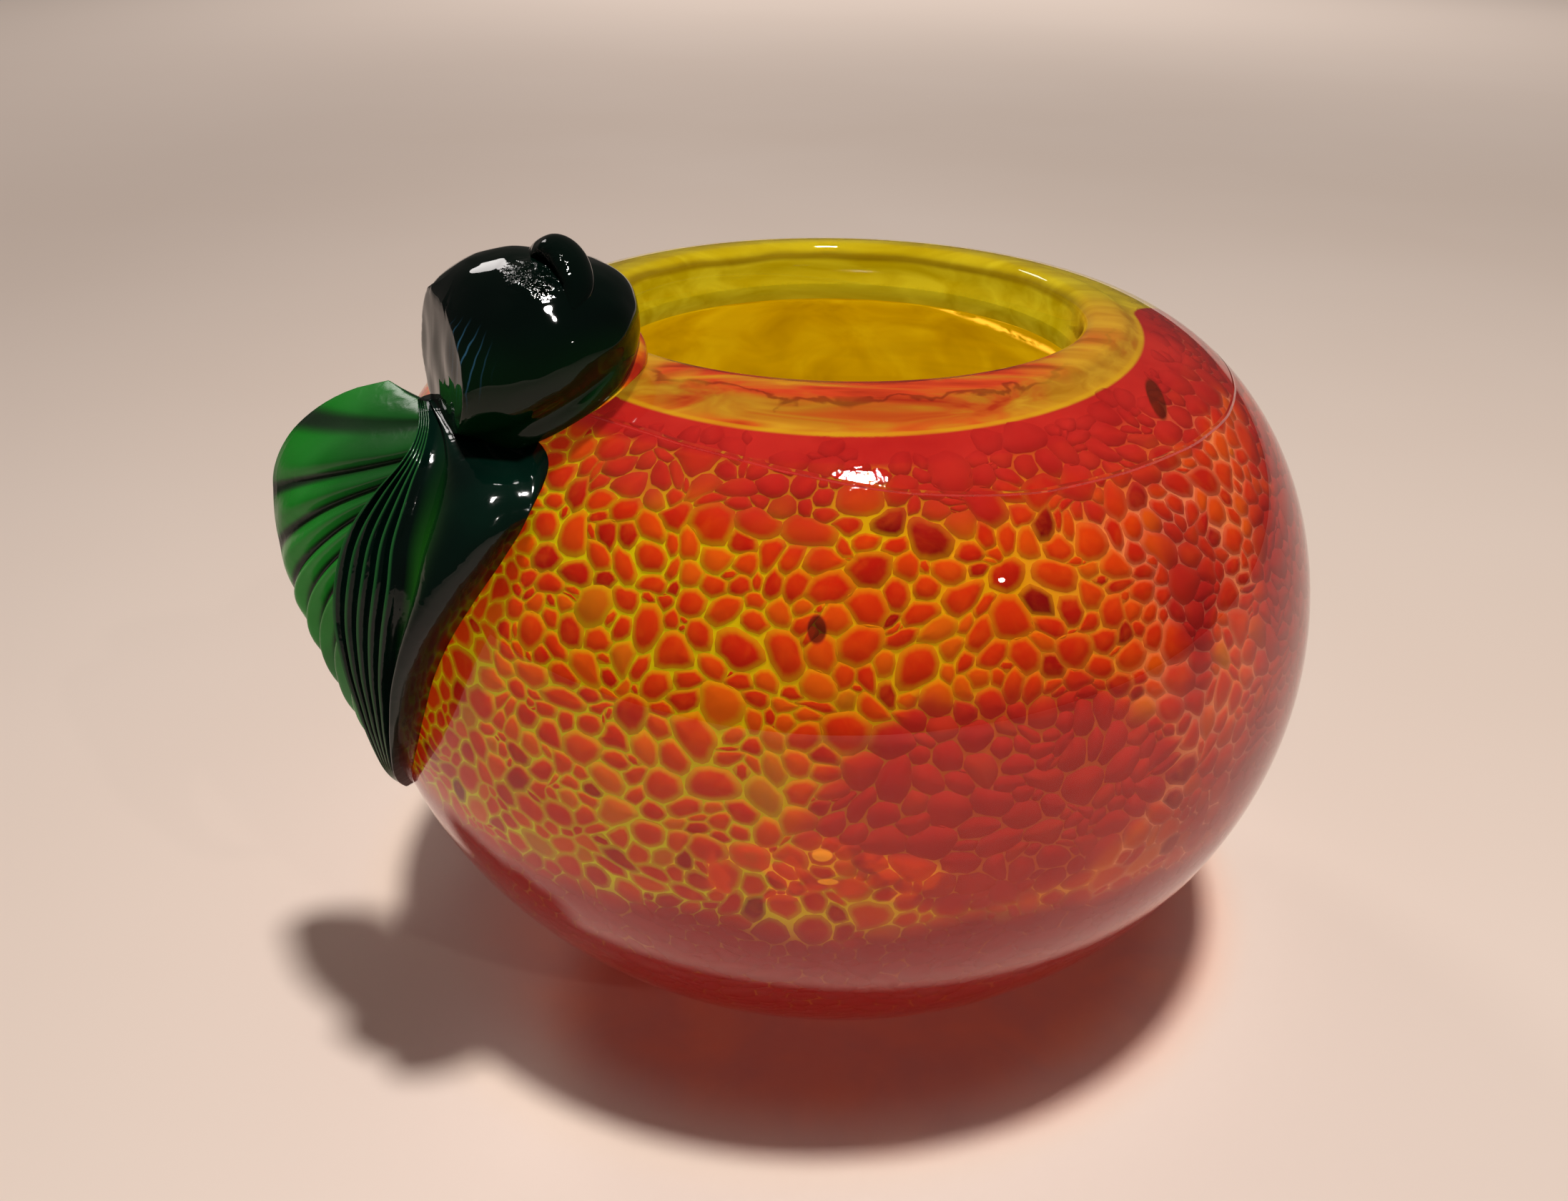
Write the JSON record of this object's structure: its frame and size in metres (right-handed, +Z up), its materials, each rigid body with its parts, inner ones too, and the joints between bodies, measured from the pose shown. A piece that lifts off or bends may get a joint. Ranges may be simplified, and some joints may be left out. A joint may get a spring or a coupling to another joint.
{
  "type": "art glass apple",
  "caption": "Squat open apple of hot-worked glass: a thick-walled round bowl coated with chips under clear glass, with a stem and a ribbed leaf, to display or to hold small things",
  "frame": {"origin": "centre of the ground foot, on the plane the apple stands on", "axes": "+Z up along the axis of the bowl; the stem and the leaf are on the left shoulder, towards -X and -Y"},
  "size_m": [0.135, 0.13, 0.1081],
  "materials": {
    "clear_glass": "fire-polished clear glass",
    "red_chips": "red, orange and maroon glass chips, sealed in",
    "yellow_glass": "transparent yellow glass",
    "green_glass": "dark green glass, fire-polished"
  },
  "bodies": {
    "root": {"clear_casing": "clear_glass", "red_chip_layer": "red_chips", "yellow_lining": "yellow_glass", "clear_join": "clear_glass", "stem_knob": "green_glass", "stem_curl": "green_glass", "ribbed_leaf": "green_glass"}
  },
  "joints": []
}
